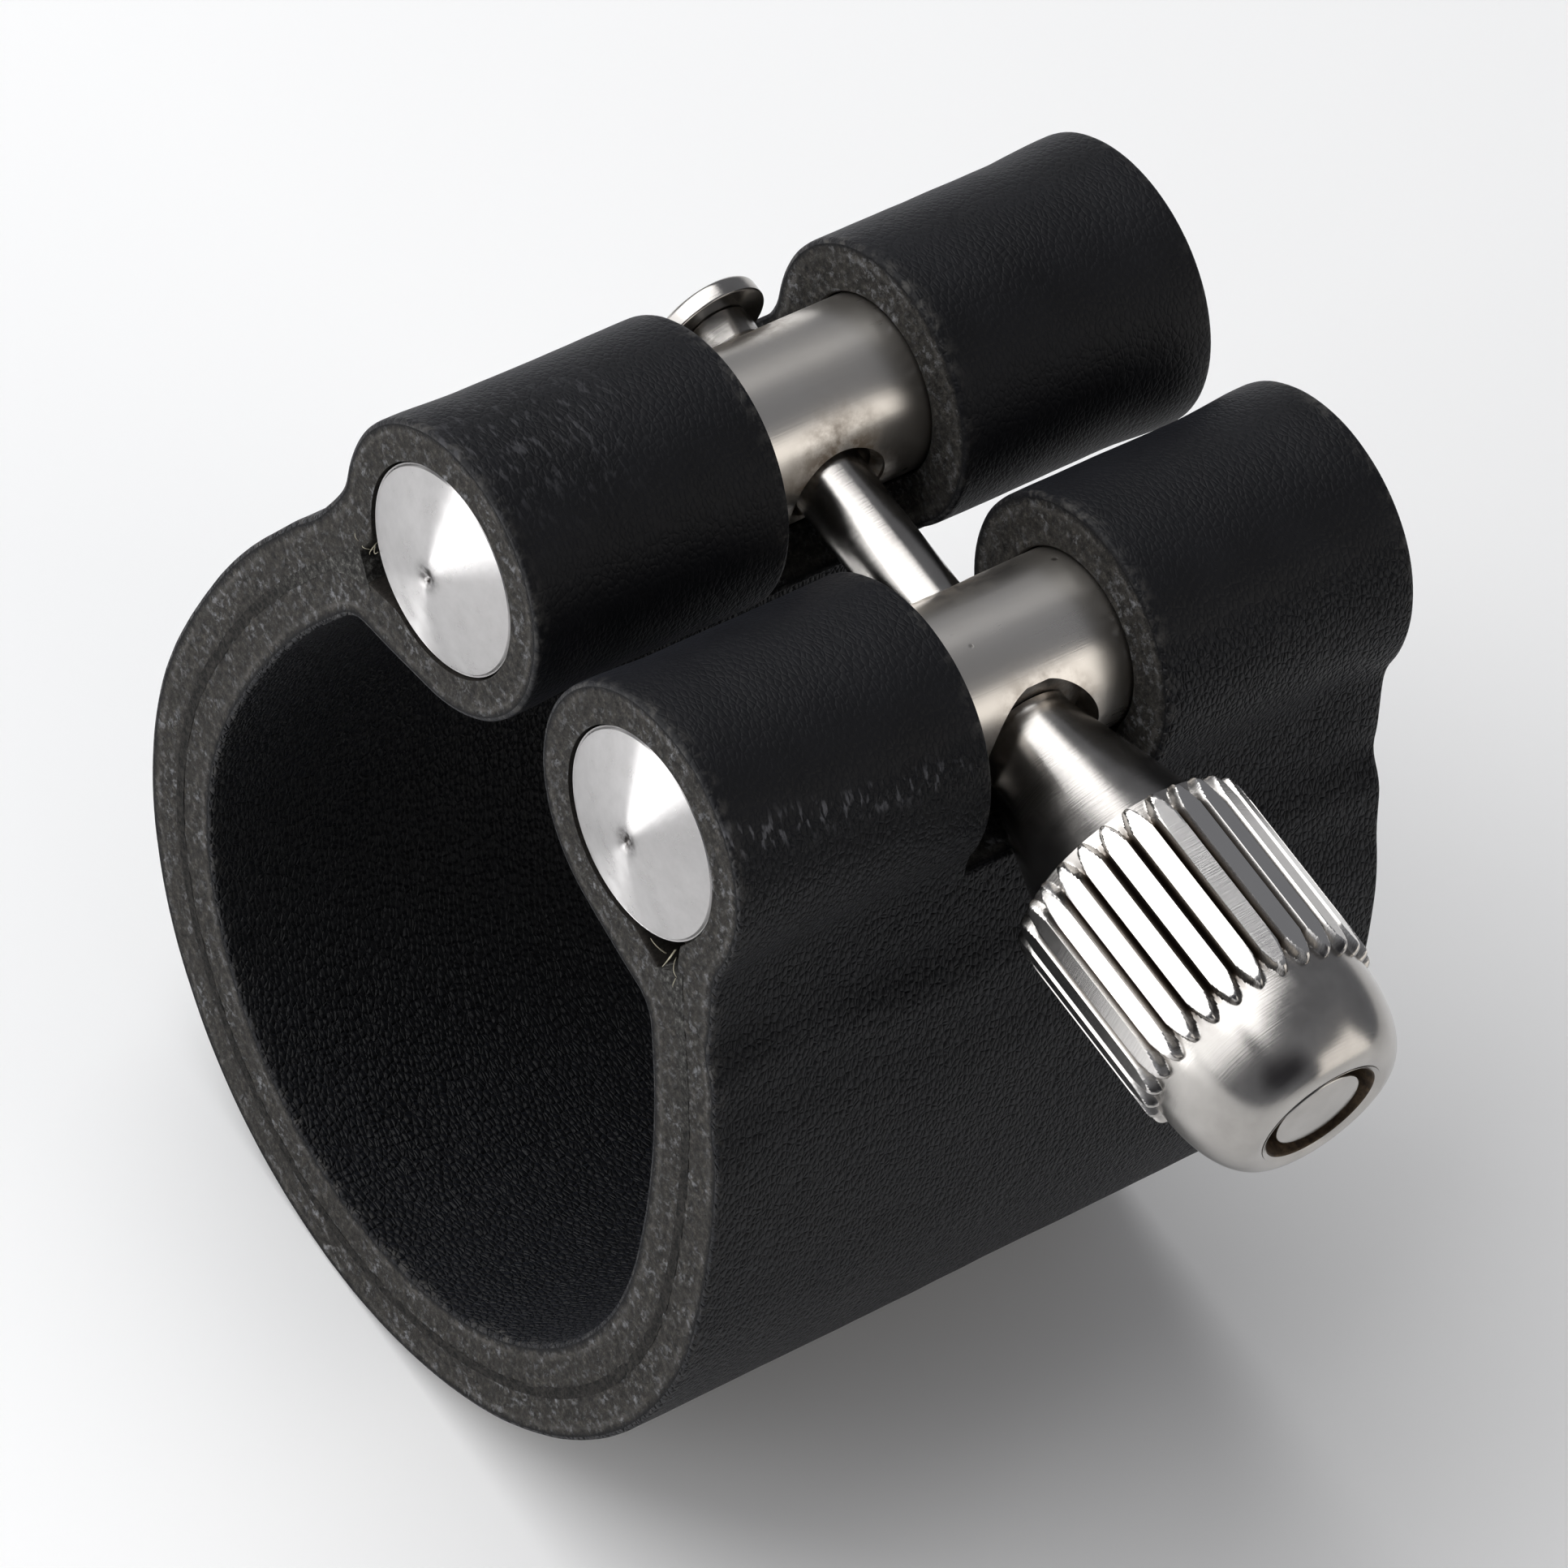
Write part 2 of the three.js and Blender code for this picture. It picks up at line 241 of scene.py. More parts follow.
class Nodes:
    """Builds one node material. Sockets are passed as values, and numbers or colours as defaults."""

    def __init__(self, name):
        self.material = bpy.data.materials.new(name)
        self.material.use_nodes = True
        self.tree = self.material.node_tree
        self.shader = self.tree.nodes["Principled BSDF"]

    def set(self, node, inputs):
        for key, value in inputs.items():
            socket = node.inputs[key]
            if isinstance(value, bpy.types.NodeSocket):
                self.tree.links.new(value, socket)
            else:
                socket.default_value = value

    def add(self, kind, settings=None, **inputs):
        node = self.tree.nodes.new("ShaderNode" + kind)
        for key, value in (settings or {}).items():
            setattr(node, key, value)
        self.set(node, {key.replace("_", " "): value for key, value in inputs.items()})
        return node

    def math(self, operation, a, b=0.0, c=0.0):
        node = self.tree.nodes.new("ShaderNodeMath")
        node.operation = operation
        self.set(node, {0: a, 1: b, 2: c})
        return node.outputs[0]

    def place(self, scale=(1, 1, 1)):
        """Object coordinates in millimetres, times scale."""
        coords = self.add("TexCoord").outputs["Object"]
        mapping = self.add("Mapping", Vector=coords)
        mapping.inputs["Scale"].default_value = [s / MM for s in scale]
        return mapping.outputs["Vector"]

    def noted(self, name):
        """A number stored per vertex with note_points."""
        return self.add("Attribute", {"attribute_name": name}).outputs["Fac"]

    def distance_from_screw(self):
        """Millimetres from the thumb screw's axis."""
        middle = to_frame((0, 0, ROD_Z))
        coords = self.add("TexCoord").outputs["Object"]
        mapping = self.add("Mapping", Vector=coords)
        mapping.inputs["Scale"].default_value = (1 / MM, 0, 1 / MM)
        mapping.inputs["Location"].default_value = (-middle.x / MM, 0, -middle.z / MM)
        length = self.add("VectorMath", {"operation": "LENGTH"}, Vector=mapping.outputs[0])
        return length.outputs["Value"]

    def turned_about(self, axis):
        """Tangent that runs round the piece's middle, for marks left by turning."""
        return self.add("Tangent", {"direction_type": "RADIAL", "axis": axis}).outputs["Tangent"]

    def noise(self, vector, scale, detail=3.0, roughness=0.55):
        node = self.add("TexNoise", Vector=vector, Scale=scale, Detail=detail, Roughness=roughness)
        return node.outputs["Fac"]

    def cells(self, vector, scale, feature="F1"):
        node = self.add("TexVoronoi", {"feature": feature}, Vector=vector, Scale=scale)
        return node.outputs["Distance"]

    def ramp(self, value, *stops):
        """A colour ramp through (position, colour) stops."""
        node = self.add("ValToRGB", Fac=value)
        elements = node.color_ramp.elements
        while len(elements) < len(stops):
            elements.new(0.5)
        for element, (position, colour) in zip(elements, stops):
            element.position = position
            element.color = colour if len(colour) == 4 else (*colour, 1)
        return node.outputs["Color"]

    def level(self, value, low, high, to_low=0.0, to_high=1.0):
        node = self.add("MapRange", Value=value)
        self.set(node, {"From Min": low, "From Max": high, "To Min": to_low, "To Max": to_high})
        return node.outputs["Result"]

    def mix(self, factor, a, b):
        node = self.add("Mix", {"data_type": "RGBA"})
        self.set(node, {0: factor, 6: a, 7: b})
        return node.outputs[2]

    def weighted(self, *terms):
        """Sum of value times weight over the given pairs."""
        total = 0.0
        for value, weight in terms:
            total = self.math("MULTIPLY_ADD", value, weight, total)
        return total

    def bump(self, height, distance_mm):
        return self.add("Bump", Height=height, Distance=distance_mm * MM).outputs["Normal"]

    def finish(self, **inputs):
        self.set(self.shader, {key.replace("_", " "): value for key, value in inputs.items()})
        return self.material


def leather_grain():
    """Black grain side: fine pebbles, longer round the bore than along it, smoother where stretched."""
    n = Nodes("strap_leather_grain")
    along = n.place((1.3, 0.78, 0.78))
    pebbles = n.cells(along, 5.0, "SMOOTH_F1")
    valleys = n.level(n.cells(along, 5.0, "DISTANCE_TO_EDGE"), 0.0, 0.2)
    fine = n.noise(n.place(), 13.0, 3.0, 0.6)
    broad = n.noise(n.place((1.0, 0.5, 0.5)), 0.8, 3.0)
    cloudy = n.noise(n.place(), 0.4, 3.0)
    stretched = n.noted("stretched")
    height = n.weighted((pebbles, -0.6), (valleys, 0.35), (fine, 0.22), (broad, 0.5))
    height = n.math("MULTIPLY", height, n.level(stretched, 0.0, 1.0, 1.0, 0.13))
    streaks = n.noise(n.place((6.0, 1.9, 1.9)), 1.0, 2.0, 0.5)
    ticks = n.math("MULTIPLY", n.level(streaks, 0.56, 0.66), n.noted("ticks"))
    patches = n.level(n.noise(n.place(), 2.4, 4.0, 0.65), 0.47, 0.66)
    rub_patches = n.math("MULTIPLY", n.noted("rubbed"), patches)
    colour = n.ramp(cloudy, (0.3, (0.0030, 0.0030, 0.0038)), (0.72, (0.0055, 0.0056, 0.0070)))
    colour = n.mix(ticks, colour, (0.075, 0.075, 0.082, 1))
    colour = n.mix(n.math("MULTIPLY", rub_patches, 0.55), colour, (0.10, 0.095, 0.088, 1))
    rough = n.weighted((fine, 0.10), (cloudy, 0.12), (stretched, 0.03), (1.0, 0.40))
    return n.finish(
        **{"Base Color": colour, "Roughness": rough, "Normal": n.bump(height, 0.2),
           "Specular IOR Level": 0.19, "Sheen Weight": 0.02, "Sheen Roughness": 0.5,
           "Sheen Tint": (0.62, 0.7, 0.95, 1)})


def leather_edge():
    """Cut edge: black finish, then a paler streak, then brown-grey fibres with light flecks."""
    n = Nodes("strap_leather_edge")
    here = n.place()
    fibres = n.noise(here, 4.2, 6.0, 0.75)
    flecks = n.level(n.noise(n.place((1.0, 0.8, 0.8)), 4.6, 4.0, 0.7), 0.51, 0.68)
    patches = n.noise(here, 1.0, 3.0)
    inward = n.math("ADD", n.noted("ply_depth"), n.math("MULTIPLY_ADD", fibres, 0.12, -0.06))
    body = n.ramp(fibres, (0.36, (0.009, 0.0085, 0.008)), (0.54, (0.036, 0.033, 0.029)),
                  (0.76, (0.125, 0.115, 0.102)))
    finish = n.ramp(inward, (0.03, (0.0, 0.0, 0.0)), (0.13, (1, 1, 1)))
    colour = n.mix(finish, (0.006, 0.006, 0.007, 1), body)
    streak = n.ramp(inward, (0.13, (0, 0, 0)), (0.2, (1, 1, 1)), (0.32, (0, 0, 0)))
    broken_streak = n.math("MULTIPLY", streak, n.level(patches, 0.35, 0.7, 0.0, 0.35))
    colour = n.mix(broken_streak, colour, (0.2, 0.19, 0.18, 1))
    light = n.math("MULTIPLY", flecks, n.level(patches, 0.42, 0.64, 0.06, 0.75))
    colour = n.mix(n.math("MULTIPLY", light, finish), colour, (0.30, 0.305, 0.32, 1))
    height = n.weighted((fibres, 1.0), (flecks, 0.3))
    return n.finish(**{"Base Color": colour, "Roughness": 0.85, "Normal": n.bump(height, 0.16),
                       "Specular IOR Level": 0.25})


def leather_flesh():
    """Suede underside of the leather, inside the fold."""
    n = Nodes("strap_leather_flesh")
    nap = n.noise(n.place((1, 2, 2)), 5.0, 5.0, 0.7)
    colour = n.ramp(nap, (0.3, (0.008, 0.007, 0.006)), (0.75, (0.03, 0.026, 0.022)))
    return n.finish(**{"Base Color": colour, "Roughness": 0.95, "Normal": n.bump(nap, 0.08),
                       "Specular IOR Level": 0.2})


def glue():
    """Dried contact glue in the throat of the fold, dark with dust and a few yellow lumps."""
    n = Nodes("dried_glue")
    lumps = n.noise(n.place(), 2.6, 4.0)
    colour = n.ramp(lumps, (0.4, (0.014, 0.0125, 0.011)), (0.56, (0.075, 0.068, 0.055)),
                    (0.7, (0.34, 0.33, 0.27)))
    return n.finish(**{"Base Color": colour, "Roughness": 0.6, "Normal": n.bump(lumps, 0.2)})


def pressed_seam():
    """The joint between the plies at a cut edge: dark, with grey glue and fibres towards the throat."""
    n = Nodes("pressed_seam")
    fibres = n.noise(n.place(), 4.6, 6.0, 0.75)
    dark = n.ramp(fibres, (0.42, (0.008, 0.0078, 0.0075)), (0.66, (0.05, 0.046, 0.041)))
    grey = n.ramp(fibres, (0.42, (0.02, 0.019, 0.018)), (0.56, (0.075, 0.073, 0.068)),
                  (0.68, (0.26, 0.26, 0.24)))
    colour = n.mix(n.noted("near_throat"), dark, grey)
    return n.finish(**{"Base Color": colour, "Roughness": 0.9, "Normal": n.bump(fibres, 0.25),
                       "Specular IOR Level": 0.2})


def loose_fibre():
    n = Nodes("frayed_fibre")
    tone = n.noise(n.place(), 3.0, 3.0)
    colour = n.ramp(tone, (0.35, (0.16, 0.145, 0.105)), (0.65, (0.46, 0.43, 0.33)))
    return n.finish(**{"Base Color": colour, "Roughness": 0.8, "Normal": n.bump(tone, 0.02)})


def satin_nickel():
    """Rod metal: satin, brushed along the rod, a few pits, patchy brown round the screw's hole."""
    n = Nodes("rod_satin_nickel")
    brush = n.noise(n.place((0.2, 7.0, 7.0)), 2.4, 4.0, 0.65)
    smudge = n.noise(n.place(), 0.5, 3.0, 0.5)
    pits = n.level(n.cells(n.place(), 0.75), 0.05, 0.09, 1.0, 0.0)
    near_hole = n.level(n.distance_from_screw(), 1.5, 2.5, 1.0, 0.0)
    # patchy brown colour, and rougher metal, within about 2 mm of the screw's axis
    brown_patches = n.math("MULTIPLY", near_hole, n.level(n.noise(n.place(), 1.9, 5.0, 0.65), 0.36, 0.62))
    colour = n.ramp(smudge, (0.3, (0.66, 0.625, 0.58)), (0.7, (0.75, 0.715, 0.67)))
    colour = n.mix(n.math("MULTIPLY", brown_patches, 0.75), colour, (0.16, 0.105, 0.055, 1))
    colour = n.mix(n.math("MULTIPLY", pits, 0.7), colour, (0.1, 0.085, 0.07, 1))
    height = n.weighted((brush, 0.35), (pits, -1.2), (smudge, 0.5))
    rough = n.weighted((smudge, -0.10), (brush, 0.05), (brown_patches, 0.25), (0.32, 1.0))
    return n.finish(**{"Base Color": colour, "Metallic": 1.0, "Roughness": rough,
                       "Normal": n.bump(height, 0.006)})


def mirror_nickel():
    """Cap metal: polished turned face, so reflections are drawn out from the middle to the rim; a dark
    reflection is painted round the apex.
    """
    n = Nodes("cap_mirror_nickel")
    haze = n.noise(n.place(), 1.4, 4.0, 0.6)
    scratches = n.noise(n.place((0.5, 9.0, 1.2)), 2.5, 3.0, 0.6)
    colour = n.ramp(haze, (0.3, (0.43, 0.42, 0.418)), (0.7, (0.52, 0.51, 0.508)))
    # painted reflection: the apex of the dome darkened in colour, with a ragged edge, to stand for the dark
    # reflection and shade at its tip
    ragged = n.level(n.noise(n.place(), 5.0, 3.0), 0.3, 0.6, 0.4, 1.3)
    colour = n.mix(n.math("MULTIPLY", n.noted("grime"), ragged), colour, (0.03, 0.026, 0.024, 1))
    rough = n.level(haze, 0.35, 0.75, 0.27, 0.33)
    return n.finish(**{"Base Color": colour, "Metallic": 1.0, "Roughness": rough,
                       "Normal": n.bump(scratches, 0.0015),
                       "Anisotropic": 1.0, "Anisotropic Rotation": 0.25, "Tangent": n.turned_about("X")})


def turned_nickel():
    """Screw metal: fine lathe rings, smudges, a painted highlight on the knurl's ridges and painted shade in
    its grooves.
    """
    n = Nodes("screw_turned_nickel")
    rings = n.noise(n.place((0.15, 14.0, 0.15)), 1.6, 4.0, 0.7)
    smudge = n.noise(n.place(), 0.8, 4.0, 0.6)
    film = n.noted("film")
    colour = n.ramp(smudge, (0.3, (0.38, 0.363, 0.345)), (0.7, (0.48, 0.462, 0.44)))
    # painted highlight: the knurl's ridge tops made lighter in colour to stand for their bright reflections
    colour = n.mix(n.noted("burnished"), colour, (0.74, 0.72, 0.70, 1))
    # painted shade: the bottoms of the knurl's grooves darkened in colour where shade falls
    colour = n.mix(n.math("MULTIPLY", film, 0.85), colour, (0.10, 0.075, 0.055, 1))
    rough = n.weighted((smudge, 0.16), (rings, 0.10), (film, 0.2), (0.08, 1.0))
    return n.finish(**{"Base Color": colour, "Metallic": 1.0, "Roughness": rough,
                       "Normal": n.bump(rings, 0.003),
                       "Anisotropic": 0.6, "Anisotropic Rotation": 0.25, "Tangent": n.turned_about("Y")})


def tarnished_groove():
    n = Nodes("screw_tarnished_groove")
    brown_patches = n.noise(n.place(), 4.0, 4.0, 0.65)
    colour = n.ramp(brown_patches, (0.3, (0.018, 0.010, 0.005)), (0.7, (0.10, 0.066, 0.036)))
    return n.finish(**{"Base Color": colour, "Metallic": 0.6, "Roughness": 0.55,
                       "Normal": n.bump(brown_patches, 0.03)})


GRAIN, EDGE, FLESH = leather_grain(), leather_edge(), leather_flesh()
GLUE, SEAM, FIBRE = glue(), pressed_seam(), loose_fibre()
SATIN, MIRROR, TURNED, TARNISH = satin_nickel(), mirror_nickel(), turned_nickel(), tarnished_groove()


# ---- the strap: one strip of leather folded round both rods ----

FLANK_START, FLANK_END = math.radians(8), math.radians(-12)
THROAT_T = 0.62  # how far up the flank the returning ply meets it, as a share of the flank
THROAT_EASE = 0.07  # and how far below that the rounding of the corner ends
SNUG_FIT = 0.11  # how much closer to the rod the flesh side lies in the loop
MESH_STEP = 0.26  # spacing of the strap's points


def polar(centre, r, angle):
    return np.array([centre[0] + r * math.cos(angle), centre[1] + r * math.sin(angle)])


def arc(centre, r, start, end):
    count = max(2, int(abs(end - start) * r / 0.05))
    return [polar(centre, r, start + (end - start) * i / count) for i in range(count + 1)]


def flank(t):
    """Point and unit tangent of the flank's outer line, a cubic from the bore's circle to the fold."""
    p0 = polar((0, 0), OUTER_R, FLANK_START)
    p3 = polar((ROD_Y, ROD_Z), LOOP_R, FLANK_END)
    p1 = polar(p0, 8, FLANK_START + math.pi / 2)
    p2 = polar(p3, 2, FLANK_END - math.pi / 2)
    s = 1 - t
    point = s ** 3 * p0 + 3 * s * s * t * p1 + 3 * s * t * t * p2 + t ** 3 * p3
    slope = 3 * (s * s * (p1 - p0) + 2 * s * t * (p2 - p1) + t * t * (p3 - p2))
    return point, slope / np.linalg.norm(slope)


def inside_flank(t, depth):
    point, tangent = flank(t)
    return point + np.array([-tangent[1], tangent[0]]) * depth


def grain_line():
    """The strip's grain side in section, from bottom outside, round the rod, to bottom inside."""
    centre = np.array([ROD_Y, ROD_Z])
    throat = inside_flank(THROAT_T, 2 * PLY)
    toward = centre - throat
    touch = math.atan2(toward[1], toward[0]) + math.asin(LOOP_R / np.linalg.norm(toward)) + math.pi / 2
    line = arc((0, 0), OUTER_R, -math.pi / 2, FLANK_START)
    line += [flank(t)[0] for t in np.linspace(0, 1, 240)[1:]]
    line += arc(centre, LOOP_R, FLANK_END, touch)[1:]
    end = line[-1]
    beside = throat + (end - throat) * 0.16
    below = inside_flank(THROAT_T - THROAT_EASE, 2 * PLY)
    line += [beside + (end - beside) * (1 - t) for t in np.linspace(0, 1, 60)[1:]]
    line += [(1 - t) ** 2 * beside + 2 * t * (1 - t) * throat + t * t * below
             for t in np.linspace(0, 1, 24)[1:]]
    line += [inside_flank(t, 2 * PLY) for t in np.linspace(THROAT_T - THROAT_EASE, 0, 120)[1:]]
    line += arc((0, 0), BORE_R, FLANK_START, -math.pi / 2)[1:]
    return np.array(line)


def graded(marks, step, ease=(0.03, 0.08, 0.15, 0.26)):
    """Grid positions through the marks at about step, closer together beside each mark."""
    values = []
    for low, high in zip(marks, marks[1:]):
        inner = [low] + [low + e for e in ease]
        outer = [high - e for e in reversed(ease)]
        count = max(1, int(round((outer[0] - inner[-1]) / step)))
        middle = list(np.linspace(inner[-1], outer[0], count + 1))[1:-1]
        values += inner + middle + outer
    return np.array(values + [marks[-1]])


class Strip:
    """The grain line sampled by distance along it, with its normals and landmarks."""

    def __init__(self, step):
        line = grain_line()
        gaps = np.linalg.norm(np.diff(line, axis=0), axis=1)
        reach = np.concatenate([[0], np.cumsum(gaps)])
        from_rod = np.linalg.norm(line - [ROD_Y, ROD_Z], axis=1)
        looped = np.where((from_rod < LOOP_R + 0.35) & (line[:, 1] > WINDOW_FLOOR))[0]
        self.window = (reach[looped[0]], reach[looped[-1]])
        self.length = reach[-1]
        self.s = graded([0, *self.window, self.length], step)
        self.points = np.stack([np.interp(self.s, reach, line[:, k]) for k in (0, 1)], axis=1)
        tangent = np.gradient(self.points, self.s, axis=0)
        tangent /= np.linalg.norm(tangent, axis=1)[:, None]
        self.inward = np.stack([-tangent[:, 1], tangent[:, 0]], axis=1)
        self.rod_angle = np.arctan2(self.points[:, 1] - ROD_Z, self.points[:, 0] - ROD_Y)
        near_rod = np.linalg.norm(self.points - [ROD_Y, ROD_Z], axis=1)
        self.on_loop = 1 - smoothstep(LOOP_R + 0.2, LOOP_R + 1.6, near_rod)


def corner_drop(distance, radius=0.13):
    """How far a rounded edge falls away at a distance from the edge."""
    d = np.clip(distance, 0, radius)
    return radius - np.sqrt(np.maximum(radius ** 2 - (radius - d) ** 2, 0))


def noise_at(points, frequency, seed=0.0):
    """Smooth noise, about -0.5 to 0.5, at each point; frequency may differ per axis."""
    scaled = points * np.array(frequency) + seed
    return np.array([noise.noise(Vector(p)) for p in scaled]) * 0.5


def shell(grain, flesh, quads, layers):
    """Closes two matching skins with walls of several layers.

    Returns points, faces, a material number per face and the depth through the ply per point.
    """
    count = len(grain)
    faces = [tuple(q) for q in quads] + [tuple(count + v for v in reversed(q)) for q in quads]
    kinds = [0] * len(quads) + [2] * len(quads)
    edges = {(q[i], q[(i + 1) % 4]) for q in quads for i in range(4)}
    rim = sorted(e for e in edges if (e[1], e[0]) not in edges)
    rows, extra, depth = {}, [], [0.0] * count + [1.0] * count
    for v in sorted({v for e in rim for v in e}):
        row = [v]
        for k in range(1, layers):
            row.append(2 * count + len(extra))
            extra.append(grain[v] + (flesh[v] - grain[v]) * k / layers)
            depth.append(k / layers)
        rows[v] = row + [count + v]
    for a, b in rim:
        for k in range(layers):
            faces.append((rows[b][k], rows[a][k], rows[a][k + 1], rows[b][k + 1]))
            kinds.append(1)
    return np.concatenate([grain, flesh, np.array(extra)]), faces, kinds, np.array(depth)


def bell(value, middle, width):
    return np.exp(-((value - middle) / width) ** 2)


def dents(side, s, x, strip, where):
    """How far the grain side lies inside the plain section, in millimetres."""
    base = strip.window[0]
    wander = 0.5 * np.sin(x * 0.45 + side) + 1.2 * noise_at(where, 0.16, 20.0)
    depth = 0.34 if side < 0 else 0.12
    first = depth * bell(s, base - 2.3 + wander, 0.75) * (0.55 + noise_at(where, (0.3, 0.1, 0.1), 4.0))
    second = depth * 0.7 * bell(s, base - 4.7 + wander, 1.1) * (0.5 + noise_at(where, (0.2, 0.1, 0.1), 9.0))
    puckers = 0.035 * noise_at(where, (1.9, 0.5, 0.5), 11.0) * bell(s, base + 0.2, 1.5)
    waves = 0.05 * noise_at(where, 0.28, 3.1) + 0.02 * noise_at(where, 1.1, 7.7)
    return first + second + puckers + waves


def surface_notes(side, x, angle, on_loop, to_edge, where):
    """Where the grain side is stretched, ticked by bending and rubbed, one number per point each."""
    if side > 0:
        stretched = on_loop
        ticks = 0.4 * bell(angle, math.radians(80), 0.5) * (1 - smoothstep(-8.5, -5.0, x))
    else:
        stretched = on_loop * smoothstep(math.radians(34), math.radians(50), angle)
        ticks = 1.7 * bell(angle, math.radians(42) - 0.025 * (x + 7), 0.085) * (1 - smoothstep(-4.5, -3.3, x))
    uneven = np.clip(0.6 + 1.6 * noise_at(where, 0.5, 31.0), 0, 1)
    rubbed = (1 - smoothstep(0.08, 0.42, to_edge)) * uneven
    return {"stretched": stretched, "ticks": ticks * on_loop, "rubbed": rubbed}


def strap_half(side):
    """Half of the strap as one folded strip of leather, on the +Y (side 1) or -Y (side -1) side."""
    strip = Strip(MESH_STEP)
    xs = graded([-HALF, -WINDOW_HALF, WINDOW_HALF, HALF], MESH_STEP)
    s_grid, x_grid = np.meshgrid(np.arange(len(strip.s)), xs, indexing="ij")
    k, x = s_grid.ravel(), x_grid.ravel()
    s, base, inward, on_loop = strip.s[k], strip.points[k], strip.inward[k], strip.on_loop[k]
    to_window = np.maximum.reduce([strip.window[0] - s, s - strip.window[1], np.abs(x) - WINDOW_HALF])
    to_edge = np.minimum(HALF - np.abs(x), np.abs(to_window))
    where = np.stack([x, base[:, 0] * side, base[:, 1]], axis=1)
    flare = 0.1 * on_loop * smoothstep(HALF - 2.6, HALF - 0.3, np.abs(x))
    grain_depth = dents(side, s, x, strip, where) + corner_drop(to_edge) - flare
    flesh_depth = PLY - GLUE_LINE / 2 + SNUG_FIT * on_loop - corner_drop(to_edge, 0.08) * 0.6
    grain = base + inward * grain_depth[:, None]
    flesh = clear_of_rod(base + inward * flesh_depth[:, None], x)
    columns = len(xs)
    quads = []
    for i in range(len(strip.s) - 1):
        beside_window = strip.window[0] < (strip.s[i] + strip.s[i + 1]) / 2 < strip.window[1]
        for j in range(columns - 1):
            if beside_window and abs(xs[j] + xs[j + 1]) / 2 < WINDOW_HALF:
                continue
            a = i * columns + j
            quads.append((a, a + columns, a + columns + 1, a + 1))
    notes = surface_notes(side, x, strip.rod_angle[k], on_loop, to_edge, where)
    return finish_strap(side, x, grain, flesh, quads, notes)


def clear_of_rod(points, x):
    """Moves flesh-side points out to the tunnel's wall, wider where the caps sit."""
    centre = np.array([ROD_Y, ROD_Z])
    cap_seat = smoothstep(ROD_HALF - 0.35, ROD_HALF - 0.15, np.abs(x))
    wall = ROD_R + CLEARANCE + (CAP_R - ROD_R) * cap_seat
    away = points - centre
    distance = np.linalg.norm(away, axis=1)
    pushed = centre + away * (wall / distance)[:, None]
    return np.where((distance < wall)[:, None], pushed, points)


def finish_strap(side, x, grain, flesh, quads, notes):
    """Frays the cut walls a little, drops the points over the window and makes the piece."""
    def lift(points):
        return np.stack([x, points[:, 0] * side, points[:, 1]], axis=1)

    points, faces, kinds, depth = shell(lift(grain), lift(flesh), quads, 6)
    first = 2 * len(x)
    wall = points[first:]
    on_end = np.abs(np.abs(wall[:, 0]) - HALF) < 0.2
    fray = 0.09 * noise_at(wall, 3.2, 5.0) + 0.05 * noise_at(wall, 8.0, 15.0)
    wall[:, 0] += fray * np.where(on_end, np.sign(wall[:, 0]), 1)
    if side < 0:
        faces = [tuple(reversed(f)) for f in faces]
    used = sorted({v for f in faces for v in f})
    renumber = {v: i for i, v in enumerate(used)}
    faces = [tuple(renumber[v] for v in f) for f in faces]
    name = "strap_far_half" if side > 0 else "strap_near_half"
    strap = new_piece(name, points[used], faces, [GRAIN, EDGE, FLESH], kinds, 60)
    padding = np.zeros(len(points) - len(x))
    note_points(strap, ply_depth=depth[used])
    note_points(strap, **{key: np.concatenate([v, padding])[used] for key, v in notes.items()})
    return strap


far_strap = strap_half(1)
near_strap = strap_half(-1)


# ---- dried glue and frayed fibres in the throats of the folds ----

THROAT_ANGLE = math.radians(-47)
GLUE_REACH = 4.75  # from the rod's axis to the glue's deepest point


def tube(sections):
    """Points and faces of a closed body through matching rings of points, with flat ends."""
    count = len(sections[0])
    verts = np.concatenate(sections)
    faces = [tuple(reversed(range(count)))]
    for k in range(len(sections) - 1):
        low, high = k * count, (k + 1) * count
        for i in range(count):
            j = (i + 1) % count
            faces.append((low + i, low + j, high + j, high + i))
    faces.append(tuple(range(len(verts) - count, len(verts))))
    return verts, faces


def glue_outline(share):
    """Section of the glue: a face round the rod and two sides that meet deep in the throat."""
    half_width, centre = math.radians(28), (ROD_Y, ROD_Z)
    tip = polar(centre, GLUE_REACH, THROAT_ANGLE)
    face = [polar(centre, ROD_R + 0.15, THROAT_ANGLE + half_width * t) for t in np.linspace(-1, 1, 9)]
    outline = [*face, *[face[-1] + (tip - face[-1]) * t for t in (0.35, 0.7)], tip,
               *[tip + (face[0] - tip) * t for t in (0.3, 0.65)]]
    return [tip + (point - tip) * share for point in outline]


def glue_piece(side):
    """The fillet of glue in the wedge between the two plies: short of the cut edges, low in the window."""
    reach, sections = HALF - 1.0, []
    for x in np.linspace(-reach, reach, 84):
        share = 0.5 + 0.5 * smoothstep(WINDOW_HALF + 0.1, WINDOW_HALF + 0.6, abs(x))
        ring = np.array([(x, point[0] * side, point[1]) for point in glue_outline(share)])
        lumps = noise_at(ring, 1.3, 40.0)
        toward_rod = np.array([ROD_Y * side, ROD_Z]) - ring[:, 1:]
        ring[:, 1:] += toward_rod * (0.04 * lumps - 0.015)[:, None]
        sections.append(ring if side < 0 else ring[::-1])
    verts, faces = tube(sections)
    return new_piece("glue_far" if side > 0 else "glue_near", verts, faces, [GLUE])


SEAM_TOP = 3.9  # distance of the seam's upper end from the rod's axis
SEAM_OVERLAP = 0.17  # how far it is pressed into each ply
SEAM_PROUD = 0.01
SEAM_STEPS = 90


